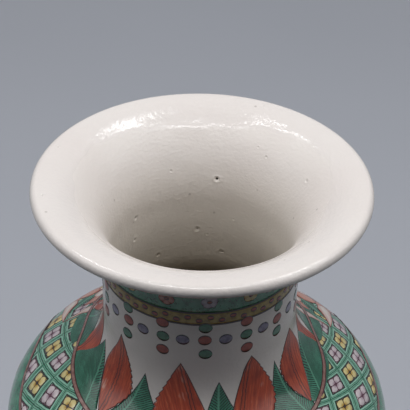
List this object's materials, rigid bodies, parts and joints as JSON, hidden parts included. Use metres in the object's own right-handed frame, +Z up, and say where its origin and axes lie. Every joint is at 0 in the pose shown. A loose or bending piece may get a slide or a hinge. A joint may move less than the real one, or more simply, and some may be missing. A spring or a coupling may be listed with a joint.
{
  "type": "rouleau vase",
  "caption": "Tall club-shaped porcelain vase with a wide flared mouth, straight neck, round shoulder and tapering body on a foot ring, open to the floor inside.",
  "frame": {"origin": "centre of the foot ring's resting face, on the vase's axis", "axes": "+Z up along the axis of turning, -Y towards the side that the picture shows"},
  "size_m": [0.182, 0.182, 0.455],
  "materials": {
    "glazed_porcelain": "glossy clear glaze over white porcelain, with overglaze enamels outside",
    "luting_slip": "fired porcelain slip",
    "iron_red_enamel": "thin satin overglaze enamel, brushed",
    "green_enamel": "thick glossy overglaze enamel over dark brush lines",
    "aubergine_enamel": "glossy overglaze enamel between dark outlines",
    "lilac_enamel": "glossy overglaze enamel between dark outlines",
    "yellow_enamel": "glossy overglaze enamel between dark outlines"
  },
  "bodies": {
    "root": {"mouth_and_neck": "glazed_porcelain", "shoulder": "glazed_porcelain", "upper_body": "glazed_porcelain", "lower_body": "glazed_porcelain", "base_and_foot_ring": "glazed_porcelain", "neck_seam": "luting_slip", "shoulder_seam": "luting_slip", "middle_seam": "luting_slip", "waist_seam": "luting_slip"}
  },
  "joints": []
}
